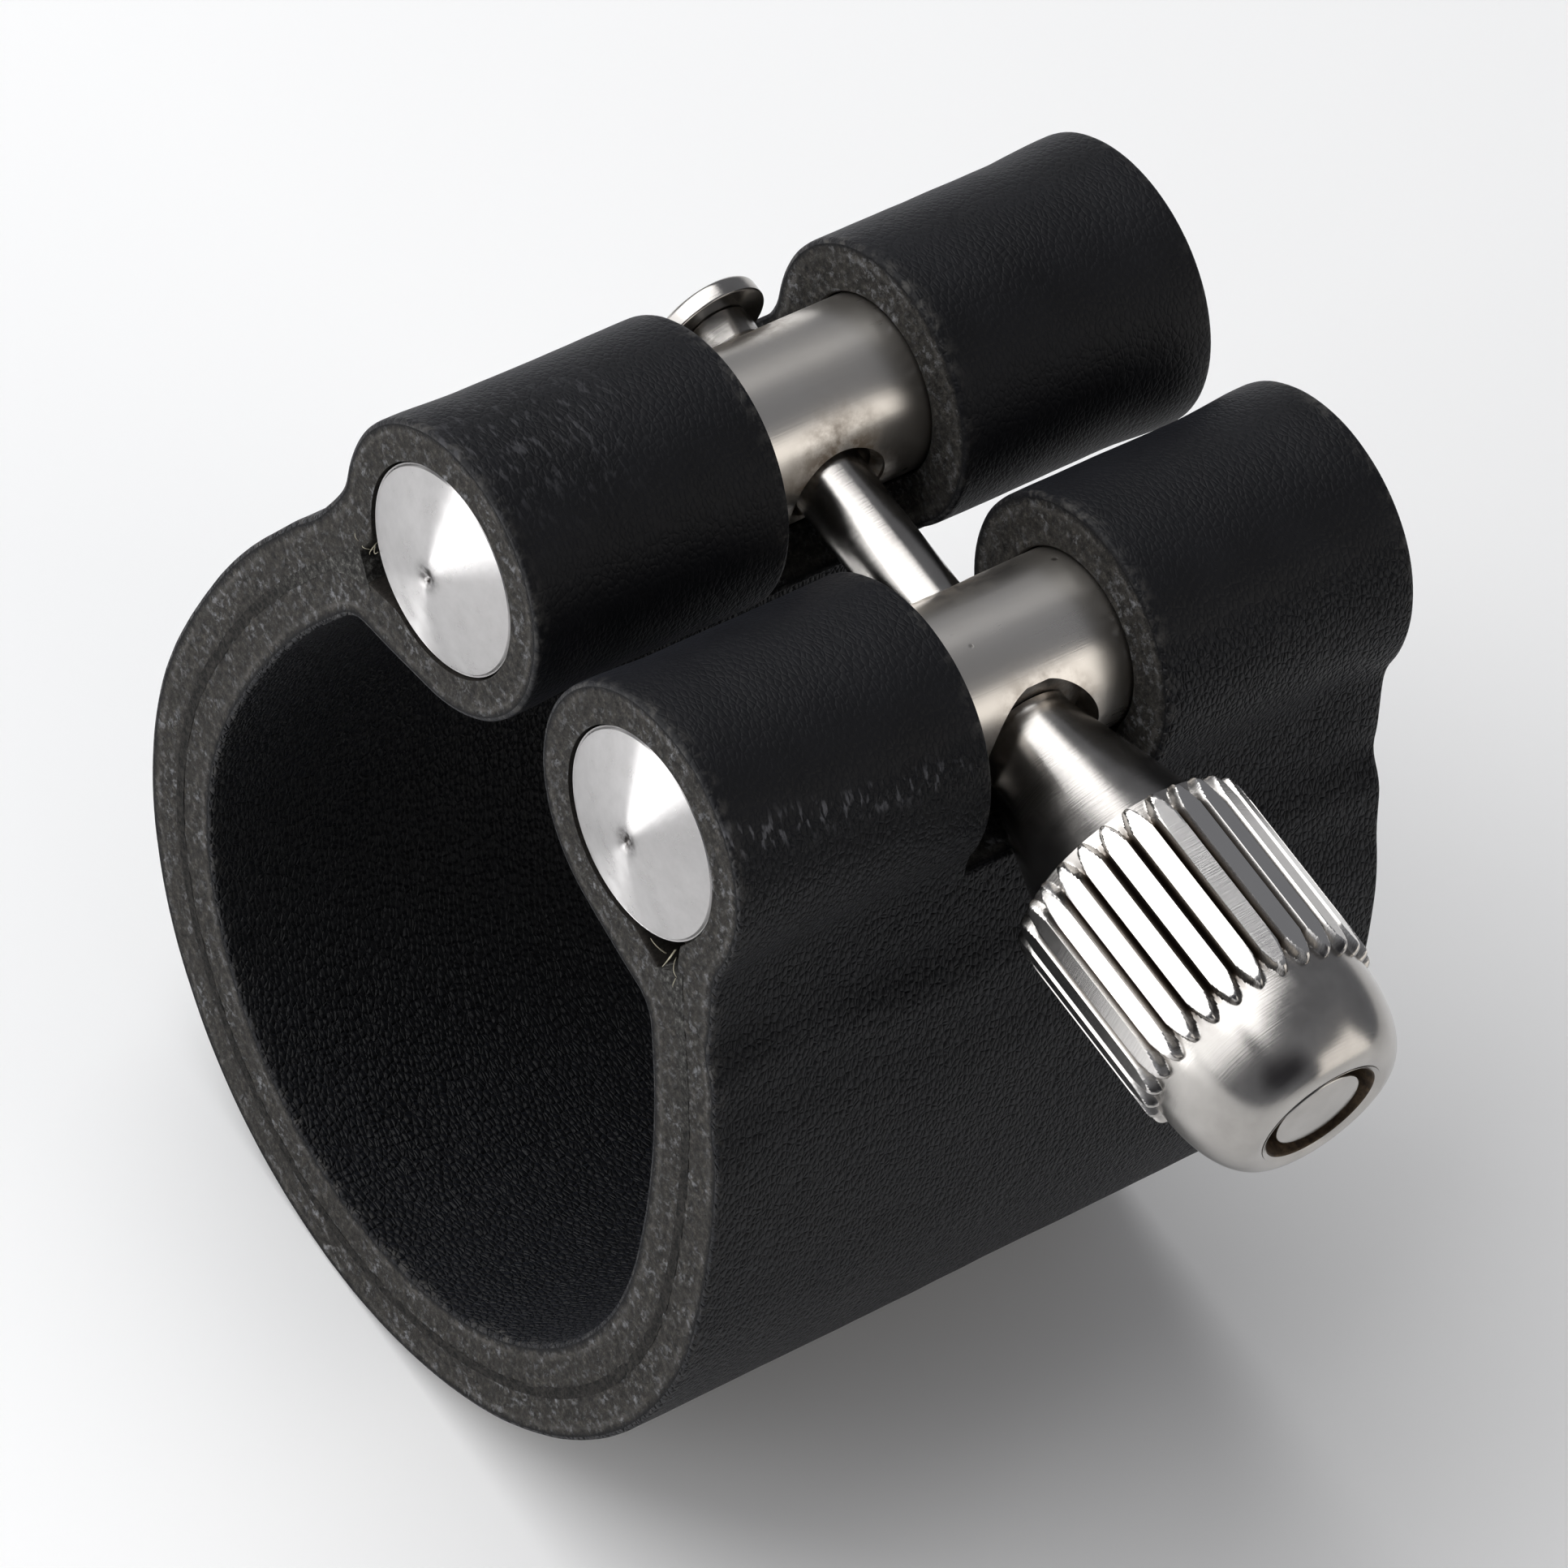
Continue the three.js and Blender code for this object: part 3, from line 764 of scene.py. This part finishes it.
def seam_piece(side):
    """Glue and pressed fibres between the plies, from just under the rod down to the saddle's middle."""
    strip, count = Strip(MESH_STEP), SEAM_STEPS
    skin = strip.points + strip.inward * (PLY - SEAM_OVERLAP)
    wanted = np.linalg.norm(skin - [ROD_Y, ROD_Z], axis=1) > SEAM_TOP
    rising = strip.s < sum(strip.window) / 2
    rails = []
    for rail in (skin[wanted & rising], skin[wanted & ~rising][::-1]):
        reach = np.concatenate([[0], np.cumsum(np.linalg.norm(np.diff(rail, axis=0), axis=1))])
        steps = np.linspace(0, reach[-1], count)
        rails.append(np.stack([np.interp(steps, reach, rail[:, k]) for k in (0, 1)], axis=1))
    ring = np.concatenate([rails[0], rails[1][::-1]])
    sections = []
    for x in np.linspace(-(HALF + SEAM_PROUD), HALF + SEAM_PROUD, 12):
        section = np.stack([np.full(len(ring), x), ring[:, 0] * side, ring[:, 1]], axis=1)
        section[:, 0] += 0.05 * np.sign(x) * noise_at(section, 2.5, 50.0)
        sections.append(section)
    verts, faces = tube(sections)
    ladder = [(i, i + 1, 2 * count - 2 - i, 2 * count - 1 - i) for i in range(count - 1)]
    last = len(verts) - 2 * count
    lid = [tuple(last + v for v in q) for q in ladder]
    faces = [tuple(reversed(q)) for q in ladder] + faces[1:-1] + lid
    if side < 0:
        faces = [tuple(reversed(f)) for f in faces]
    seam = new_piece("seam_far" if side > 0 else "seam_near", verts, faces, [SEAM])
    from_rod = np.linalg.norm(verts[:, 1:] - [ROD_Y * side, ROD_Z], axis=1)
    note_points(seam, near_throat=1 - smoothstep(5.0, 11.0, from_rod))
    return seam


STRANDS = 4  # at each end of each throat
STRAND_ROOT = 0.25  # how far inside the cut edge a strand starts


def fibre_strand(side, end, rng):
    """One loose strand at the throat, lying over the cut edge."""
    root = polar((ROD_Y, ROD_Z), rng.uniform(3.2, 3.9), THROAT_ANGLE + rng.uniform(-0.2, 0.2))
    heading, bend = rng.uniform(-math.pi, math.pi), rng.uniform(-1.6, 1.6)
    length, thickness = rng.uniform(0.25, 0.6), rng.uniform(0.018, 0.032)
    lift = rng.uniform(0.04, 0.14)
    place, rings, steps = np.array(root), [], 8
    for k in range(steps + 1):
        t = k / steps
        turn = heading + bend * t
        along = np.array([math.cos(turn), math.sin(turn)])
        place = place + along * length / steps
        r = thickness * (1 - 0.75 * t)
        x = end * (HALF - STRAND_ROOT + (STRAND_ROOT + lift) * math.sin(math.pi * 0.6 * t))
        ring = [(x + r * math.cos(a), (place[0] - along[1] * r * math.sin(a)) * side,
                 place[1] + along[0] * r * math.sin(a)) for a in np.arange(6) * math.pi / 3]
        rings.append(np.array(ring if side < 0 else ring[::-1]))
    return tube(rings)


def fibres_piece(side):
    rng = random.Random(11 + side)
    verts, faces = [], []
    for end in (-1, 1):
        for _ in range(STRANDS):
            points, polygons = fibre_strand(side, end, rng)
            faces += [tuple(v + len(verts) for v in polygon) for polygon in polygons]
            verts += points.tolist()
    return new_piece("fibres_far" if side > 0 else "fibres_near", np.array(verts), faces, [FIBRE])


# ---- rods and caps ----

SEAT_R, SEAT_FLOOR = 2.0, -6.4  # the near rod's counterbore for the knob's nose
COUNTERSINK, COUNTERSINK_DEPTH = 0.2, 0.42


def rod_piece(name, side):
    """A rod with softened ends and a countersunk cross hole; the near one has the knob's counterbore."""
    ends = [(0, -ROD_HALF, 0), (ROD_R, -ROD_HALF, 0.15), (ROD_R, ROD_HALF, 0.15), (0, ROD_HALF, 0)]
    profile = rounded(ends)
    spread = [profile[0], *profile[1:6], *[(ROD_R, h) for h in np.linspace(-6, 6, 49)], *profile[6:]]
    verts, faces = revolve(spread, 128)
    rod = new_piece(name, placed(verts, "+X", (0, side * ROD_Y, ROD_Z)), faces, [SATIN])
    hole_r = THREAD_R + CLEARANCE
    reach = ROD_R + 1
    wide = hole_r + COUNTERSINK
    hole = [(0, -reach), (wide, -reach), (wide, -ROD_R + 0.1), (hole_r, -ROD_R + COUNTERSINK_DEPTH),
            (hole_r, ROD_R - COUNTERSINK_DEPTH), (wide, ROD_R - 0.1), (wide, reach), (0, reach)]
    if side < 0:
        seat = ROD_Y + SEAT_FLOOR
        hole = [(0, -reach), (SEAT_R, -reach), (SEAT_R, seat), (hole_r, seat), *hole[4:]]
    verts, faces = revolve(hole, 240)
    tool = new_piece("hole_tool", placed(verts, "+Y", (0, side * ROD_Y, ROD_Z)), faces, [SATIN])
    return cut(rod, tool)


def smooth_round_rod(rod, side):
    """Gives the rod's round surface the exact normals of a cylinder, so that it reflects cleanly."""
    mesh = rod.data
    mesh.polygons.foreach_set("use_smooth", [True] * len(mesh.polygons))
    centre = np.array(to_frame((0, side * ROD_Y, ROD_Z)))[1:]
    normals = []
    for polygon in mesh.polygons:
        radial = np.array(polygon.center)[1:] - centre
        radial /= max(np.linalg.norm(radial), 1e-9)
        is_wall = float(np.dot(radial, np.array(polygon.normal)[1:])) > 0.985
        for v in polygon.vertices:
            if is_wall:
                away = np.array(mesh.vertices[v].co)[1:] - centre
                away /= np.linalg.norm(away)
                normals.append((0, away[0], away[1]))
            else:
                normals.append(tuple(polygon.normal))
    mesh.normals_split_custom_set(normals)


def cap_piece(name, side, end):
    """A press-in cap: hidden pin, thin rim, and a very low dome with the lathe's pit in its middle."""
    rim, dome, pit, pit_r = 0.5, 0.55, 0.13, 0.28
    corners = [(0, -2.5, 0), (1.0, -2.5, 0.15), (1.0, 0, 0), (CAP_R, 0, 0.08), (CAP_R, rim, 0.06)]
    profile = rounded(corners)
    face_r = CAP_R - 0.015
    radii = [*np.linspace(face_r, pit_r * 2.4, 30)[1:], *np.linspace(pit_r * 2.4, 0, 18)[1:]]
    for r in radii:
        height = rim + dome * (1 - (r / face_r) ** 1.4) - pit * math.exp(-(r / pit_r) ** 2)
        profile.append(np.array([r, height]))
    verts, faces = revolve(profile, 144)
    x = end * (ROD_HALF + 0.03)
    cap = new_piece(name, placed(verts, "+X" if end > 0 else "-X", (x, side * ROD_Y, ROD_Z)), faces, [MIRROR])
    radii = np.hypot(verts[:, 0], verts[:, 2])
    # mask for the painted dark reflection round the apex of the dome
    note_points(cap, grime=np.exp(-(radii / 0.34) ** 2) * (verts[:, 1] > 0))
    return cap


far_rod = rod_piece("far_rod_bar", 1)
near_rod = rod_piece("near_rod_bar", -1)
smooth_round_rod(far_rod, 1)
smooth_round_rod(near_rod, -1)


# ---- thumb screw ----

FLUTES = 28
KNURL_START, KNURL_STOP = -11.3, -17.5
GROOVE_DEPTH = 0.33
ROOT_R = KNURL_R - GROOVE_DEPTH
GROOVE_WALL = 0.16  # half width of a groove, as a share of one flute
RUN_OUT = 0.85  # the ridges narrow to a tip over this length at both ends of the band
KNURL_CHAMFER = 0.3
BUTTON_RECESS = 0.7
LIP_R, RECESS_R = 1.92, 1.72
CONE_R, NOSE_R, NOSE_START = 2.78, 1.45, -6.75


def flute_phase(angle):
    return (angle * FLUTES / (2 * math.pi)) % 1


def knurl_radius(r, h, angle):
    """Radius of the fluted band: flat-topped ridges that narrow to a tip at both ends, V grooves between."""
    if not KNURL_STOP - 0.05 < h < KNURL_START + 0.01 or r < ROOT_R - 0.01:
        return r
    phase = flute_phase(angle)
    half_flute = math.pi / FLUTES
    flat = KNURL_R * math.cos(half_flute) / math.cos((2 * phase - 1) * half_flute)
    inside = min(1.0, max(0.0, min(KNURL_START - h, h - KNURL_STOP) / RUN_OUT))
    open_floor = 0.5 * (1 - inside ** 0.45)
    climb = (min(phase, 1 - phase) - open_floor) / GROOVE_WALL
    wall = ROOT_R + GROOVE_DEPTH * min(1.0, max(0.0, climb))
    return min(r, flat, wall)


def chamfer_point(angle, edge, direction):
    """A point of the rounding between the knurled band's floor at edge and its full radius."""
    rise = KNURL_CHAMFER * (1 - math.cos(angle))
    return np.array([ROOT_R + GROOVE_DEPTH * math.sin(angle), edge + direction * rise])


def knob_profile():
    """Recess for the shank's button, dome, knurled band with rounded ends, cone, nose and bore."""
    bore, recess = THREAD_R + 0.03, KNOB_END + BUTTON_RECESS
    lip, groove = LIP_R, RECESS_R
    corners = [(bore, recess, 0), (groove - 0.15, recess, 0), (groove, KNOB_END + 0.1, 0.04),
               (lip, KNOB_END, 0.07)]
    profile = rounded(corners, 3)
    dome_r, dome_start = ROOT_R, KNURL_STOP - 0.06
    for a in np.linspace(0, math.pi / 2, 26)[1:]:
        profile.append(np.array([lip + (dome_r - lip) * math.sin(a) ** 0.9,
                                 dome_start + (KNOB_END - dome_start) * math.cos(a)]))
    quarter = np.linspace(0, math.pi / 2, 7)
    for a in quarter:
        profile.append(chamfer_point(a, KNURL_STOP, 1))
    low, high, tip = KNURL_STOP + KNURL_CHAMFER, KNURL_START - KNURL_CHAMFER, RUN_OUT - KNURL_CHAMFER
    heights = [*np.linspace(low, low + tip, 9), *np.linspace(low + tip, high - tip, 10)[1:-1],
               *np.linspace(high - tip, high, 9)]
    profile += [np.array([KNURL_R, h]) for h in heights[1:-1]]
    for a in quarter[::-1]:
        profile.append(chamfer_point(a, KNURL_START, -1))
    cone = [(ROOT_R - 0.12, KNURL_START + 0.02, 0.05), (CONE_R, KNURL_START + 0.06, 0.05),
            (NOSE_R + 0.01, NOSE_START, 0.08), (NOSE_R, NOSE_END, 0.05), (bore, NOSE_END, 0)]
    return profile + rounded([(KNURL_R, KNURL_START, 0), *cone, (bore, recess, 0)], 3)[1:-1]


def knob_piece():
    phases = (0, 0.05, 0.1, GROOVE_WALL, 0.2, 0.24, 0.28, 0.32, 0.36, 0.4, 0.44, 0.47, 0.5)
    phases = [*phases, *[1 - p for p in reversed(phases[1:-1])]]
    angles = [2 * math.pi * (flute + phase) / FLUTES for flute in range(FLUTES) for phase in phases]
    verts, faces = revolve(knob_profile(), angles, knurl_radius)
    radii, heights = np.hypot(verts[:, 0], verts[:, 2]), verts[:, 1]
    in_recess = (heights < KNOB_END + BUTTON_RECESS + 0.05) & (radii < RECESS_R + 0.04)
    kinds = [int(in_recess[face].all()) for face in faces]
    phase = flute_phase(np.arctan2(verts[:, 0], verts[:, 2]) % (2 * math.pi))
    from_end = np.minimum(KNURL_START - heights, heights - KNURL_STOP)
    # where the shade is painted: the bottoms of the grooves, fading out at the band's ends
    film = (1 - smoothstep(0.05, 0.15, np.minimum(phase, 1 - phase))) * smoothstep(0.1, 0.8, from_end)
    points = placed(verts, "+Y", (0, 0, ROD_Z))
    knob = new_piece("thumb_screw_knob", points, faces, [TURNED, TARNISH], kinds, 32)
    # where the highlight is painted: the tops of the ridges
    on_ridge = smoothstep(KNURL_R - 0.16, KNURL_R - 0.06, radii) * smoothstep(0.0, 0.3, from_end)
    note_points(knob, film=film, burnished=on_ridge)
    return knob


NECK_R, RELIEF_R = 1.1, 1.04
PITCH, THREAD_START, THREAD_END = 0.45, 2.7, 7.1


def thread_radius(r, h, angle):
    """A right-hand ridge on the length of the shank that works in the far rod."""
    if not THREAD_START <= h <= THREAD_END:
        return r
    turns = h / PITCH - angle / (2 * math.pi)
    ridge = 1 - abs(2 * (turns % 1) - 1)
    shaped = min(1.0, max(0.0, ridge * 1.3 - 0.12))
    fade = max(0.0, min(1.0, (h - THREAD_START) / 0.3, (THREAD_END - h) / 0.3))
    return NECK_R + (THREAD_R - NECK_R) * shaped * fade


def shank_piece():
    """Peened button in the knob's end, pressed length, neck between the rods, thread, relief and tip."""
    button, button_r, tip_r = SHANK_LOW[1], 1.34, 0.9
    corners = [(0, button - 0.02, 0), (button_r * 0.7, button - 0.01, 0.3), (button_r, button + 0.06, 0.06),
               (button_r, button + 0.42, 0.02), (THREAD_R, button + 0.5, 0.02), (THREAD_R, -2.8, 0.05),
               (NECK_R, -2.5, 0.05), (NECK_R, THREAD_START, 0)]
    profile = rounded(corners)
    profile += [np.array([NECK_R, h]) for h in np.arange(THREAD_START, THREAD_END, 0.045)[1:]]
    shoulder = DISC_LOW[1] - 0.03
    profile += rounded([(NECK_R, THREAD_END, 0), (RELIEF_R, THREAD_END + 0.1, 0),
                        (RELIEF_R, shoulder, 0.03), (tip_r, shoulder, 0),
                        (tip_r, DISC_HIGH[1], 0.08), (0, DISC_HIGH[1], 0)])
    verts, faces = revolve(profile, 72, thread_radius)
    return new_piece("thumb_screw_shank", placed(verts, "+Y", (0, 0, ROD_Z)), faces, [TURNED])


def disc_piece():
    low, high = DISC_LOW[1], DISC_HIGH[1]
    corners = [(0.93, low, 0), (DISC_R, low, 0.07), (DISC_R, high, 0.14), (0.93, high, 0.04)]
    verts, faces = revolve(rounded(corners, 5), 96)
    return new_piece("thumb_screw_disc", placed(verts, "+Y", (0, 0, ROD_Z)), faces, [TURNED])


# ---- riding on the frame ----

def stand_for(piece, body, slot, *nodes):
    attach(piece, body)
    if nodes:
        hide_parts(*nodes)


stand_for(far_rod, "far_rod_set", "rod_metal", "far_rod")
stand_for(near_rod, "near_rod_set", "rod_metal", "near_rod")
for rod_name, side in (("near", -1), ("far", 1)):
    for end_name, end in (("shank", -1), ("tip", 1)):
        cap = cap_piece(f"{rod_name}_cap_{end_name}_end", side, end)
        stand_for(cap, f"{rod_name}_rod_set", "cap_metal", f"{rod_name}_rod_cap_{end_name}")
stand_for(knob_piece(), "thumb_screw", "screw_metal", "screw_knob")
stand_for(shank_piece(), "thumb_screw", "screw_metal", "screw_shank")
stand_for(disc_piece(), "thumb_screw", "screw_metal", "screw_tip_disc")

for strap, name, side in ((near_strap, "near", -1), (far_strap, "far", 1)):
    for bending in (strap, seam_piece(side)):
        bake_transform(bending)
    stand_for(glue_piece(side), f"{name}_side", "strap_leather")
    stand_for(fibres_piece(side), f"{name}_side", "strap_leather")
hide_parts("strap_near_fold", "strap_saddle_inner")
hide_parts("strap_far_fold", "strap_saddle_outer")


# ---- floor, light and camera ----

def floor():
    """A pale sheet just under the strap; sizes in metres."""
    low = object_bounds()[0][2] - 0.00002
    half = 1.5
    corners = [(-half, -half, low), (half, -half, low), (half, half, low), (-half, half, low)]
    mesh = bpy.data.meshes.new("floor")
    mesh.from_pydata(corners, [], [(0, 1, 2, 3)])
    plane = bpy.data.objects.new("floor", mesh)
    bpy.context.scene.collection.objects.link(plane)
    n = Nodes("pale_floor")
    tone = n.ramp(n.noise(n.place(), 0.02, 2.0), (0.3, (0.92, 0.92, 0.92)), (0.7, (0.95, 0.95, 0.95)))
    mesh.materials.append(n.finish(**{"Base Color": tone, "Roughness": 0.7}))
    plane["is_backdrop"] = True


def area_light(name, direction, distance_mm, size_mm, radiance, colour=(1, 1, 1)):
    """A soft box seen from the object in the given direction, with an even brightness."""
    light = bpy.data.lights.new(name, "AREA")
    light.shape = "RECTANGLE"
    light.size, light.size_y = size_mm[0] * MM, size_mm[1] * MM
    light.energy = radiance * math.pi * light.size * light.size_y
    light.color = colour
    lamp = bpy.data.objects.new(name, light)
    toward = Vector(direction).normalized()
    lamp.location = to_frame((0, 0, ROD_Z / 2)) + toward * distance_mm * MM
    lamp.rotation_mode = "QUATERNION"
    lamp.rotation_quaternion = (-toward).to_track_quat("-Z", "Y")
    bpy.context.scene.collection.objects.link(lamp)


def studio_world():
    """Dim grey surroundings, darker where the camera stands."""
    world = bpy.data.worlds.new("studio")
    world.use_nodes = True
    nodes, links = world.node_tree.nodes, world.node_tree.links
    coords = nodes.new("ShaderNodeTexCoord")
    facing = nodes.new("ShaderNodeVectorMath")
    facing.operation = "DOT_PRODUCT"
    facing.inputs[1].default_value = Vector((-0.45, -0.68, 0.58)).normalized()
    ramp = nodes.new("ShaderNodeValToRGB")
    room, behind_camera = ramp.color_ramp.elements
    room.position, room.color = 0.86, (0.19, 0.195, 0.21, 1)
    behind_camera.position, behind_camera.color = 0.97, (0.03, 0.03, 0.035, 1)
    links.new(coords.outputs["Generated"], facing.inputs[0])
    links.new(facing.outputs["Value"], ramp.inputs["Fac"])
    links.new(ramp.outputs["Color"], nodes["Background"].inputs["Color"])
    bpy.context.scene.world = world


def lights():
    area_light("overhead_soft_box", (-0.27, 0.53, 0.80), 420, (560, 370), 2.9)
    area_light("front_right_panel", (0.52, -0.76, 0.25), 400, (320, 360), 1.2, (1, 0.95, 0.88))
    area_light("left_panel", (-0.86, 0.36, 0.37), 380, (330, 310), 2.0)
    area_light("left_card", (-0.943, 0.307, -0.13), 71.6, (28, 20), 6)
    studio_world()
    bpy.context.scene.view_settings.view_transform = "Standard"


def camera():
    """The viewpoint: from the knob's side, high on the shank's side, with the frame rolled a little."""
    azimuth, elevation, roll = math.radians(-53.96), math.radians(50.72), math.radians(22.73)
    distance_mm, lens_mm = 290, 248
    aim = (-1.1, -0.8, 5.3)
    back = Vector((math.sin(azimuth) * math.cos(elevation), -math.cos(azimuth) * math.cos(elevation),
                   math.sin(elevation)))
    level = Vector((0, 0, 1)).cross(back).normalized()
    up = math.cos(roll) * back.cross(level) - math.sin(roll) * level
    place = to_frame((0, 0, ROD_Z)) + back * distance_mm * MM
    z = (place - to_frame(aim)).normalized()
    x = up.cross(z).normalized()
    data = bpy.data.cameras.new("camera")
    data.sensor_width, data.lens = 36, lens_mm
    data.clip_start, data.clip_end = 0.01, 10
    cam = bpy.data.objects.new("camera", data)
    cam.rotation_mode = "QUATERNION"
    cam.rotation_quaternion = Matrix((x, z.cross(x), z)).transposed().to_quaternion()
    cam.location = place
    bpy.context.scene.collection.objects.link(cam)
    bpy.context.scene.camera = cam


floor()
lights()
camera()
